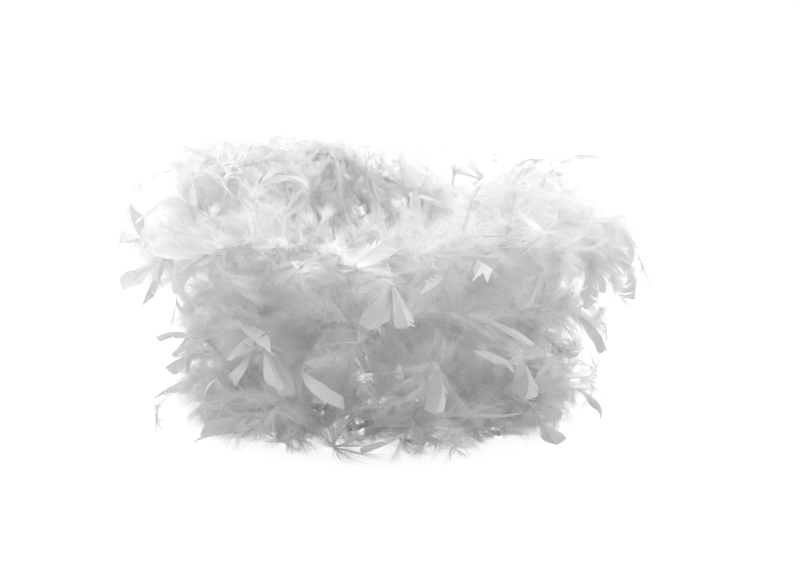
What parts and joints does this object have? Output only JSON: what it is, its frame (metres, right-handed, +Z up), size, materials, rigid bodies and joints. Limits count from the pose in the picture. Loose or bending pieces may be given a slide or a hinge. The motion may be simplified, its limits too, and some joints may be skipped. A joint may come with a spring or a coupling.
{
  "type": "feather boa",
  "caption": "Full white feather boa wound into a standing coil of stacked turns, feathers tied along a twisted cotton core.",
  "frame": {"origin": "on the surface the coil stands on, under the middle of the coil", "axes": "+Z up along the coil's axis, -Y to the front, +X to the right seen from the front"},
  "size_m": [0.284, 0.284, 0.1629],
  "materials": {
    "feather_down": "soft matte down",
    "feather_vane": "satin feather web",
    "feather_shaft": "smooth horn-like quill",
    "core_cord": "twisted cotton",
    "binding_thread": "fine cotton thread"
  },
  "bodies": {
    "bottom_turn": {"feathers_bottom_left": "feather_down", "feathers_bottom_front_left": "feather_down", "feathers_bottom_front_right": "feather_down", "feathers_bottom_right": "feather_down", "feathers_bottom_back_right": "feather_down", "core_bottom": "core_cord", "feathers_lower_bend": "feather_down", "core_lower_bend": "core_cord"},
    "lower_end": {"feathers_lower_end": "feather_down", "core_lower_end": "core_cord", "lower_end_binding": "binding_thread", "lower_end_knot": "core_cord", "lower_end_tail": "core_cord"},
    "middle_turn": {"feathers_middle_back_left": "feather_down", "feathers_middle_left": "feather_down", "feathers_middle_front_left": "feather_down", "feathers_middle_front_right": "feather_down", "feathers_middle_right": "feather_down", "feathers_middle_back_right": "feather_down", "core_middle": "core_cord", "feathers_ramp_to_middle": "feather_down", "core_ramp_to_middle": "core_cord"},
    "top_turn": {"feathers_top_back_left": "feather_down", "feathers_top_left": "feather_down", "feathers_top_front_left": "feather_down", "feathers_top_front_right": "feather_down", "feathers_top_right": "feather_down", "feathers_top_back_right": "feather_down", "core_top": "core_cord", "feathers_ramp_to_top": "feather_down", "core_ramp_to_top": "core_cord", "feathers_ramp_to_upper_end": "feather_down", "core_ramp_to_upper_end": "core_cord", "feathers_upper_bend": "feather_down", "core_upper_bend": "core_cord"},
    "upper_end": {"feathers_upper_end": "feather_down", "feathers_upper_tip": "feather_down", "core_upper_end": "core_cord", "upper_end_binding": "binding_thread", "upper_end_knot": "core_cord", "upper_end_tail": "core_cord"}
  },
  "joints": [
    {"name": "middle_turn_lift", "type": "slide", "parent": "bottom_turn", "child": "middle_turn", "axis": [0, 0, 1], "range_m": [0, 0.03], "deforming": ["feathers_ramp_to_middle", "core_ramp_to_middle"]},
    {"name": "top_turn_lift", "type": "slide", "parent": "middle_turn", "child": "top_turn", "axis": [0, 0, 1], "range_m": [0, 0.03], "deforming": ["feathers_ramp_to_top", "core_ramp_to_top"]},
    {"name": "upper_end_lift", "type": "hinge", "parent": "top_turn", "child": "upper_end", "pos_m": [-0.06255, 0.08006, 0.1508], "axis": [-0.6157, 0.788, 0], "range_deg": [0, 45], "deforming": ["feathers_upper_bend", "core_upper_bend"]},
    {"name": "lower_end_swing", "type": "hinge", "parent": "bottom_turn", "child": "lower_end", "pos_m": [-0.08081, 0.02941, 0.024], "axis": [0, 0, 1], "range_deg": [0, 30], "deforming": ["feathers_lower_bend", "core_lower_bend"]}
  ],
  "couplings": [
    {"joint": "top_turn_lift", "follows": "middle_turn_lift", "ratio": 1}
  ]
}
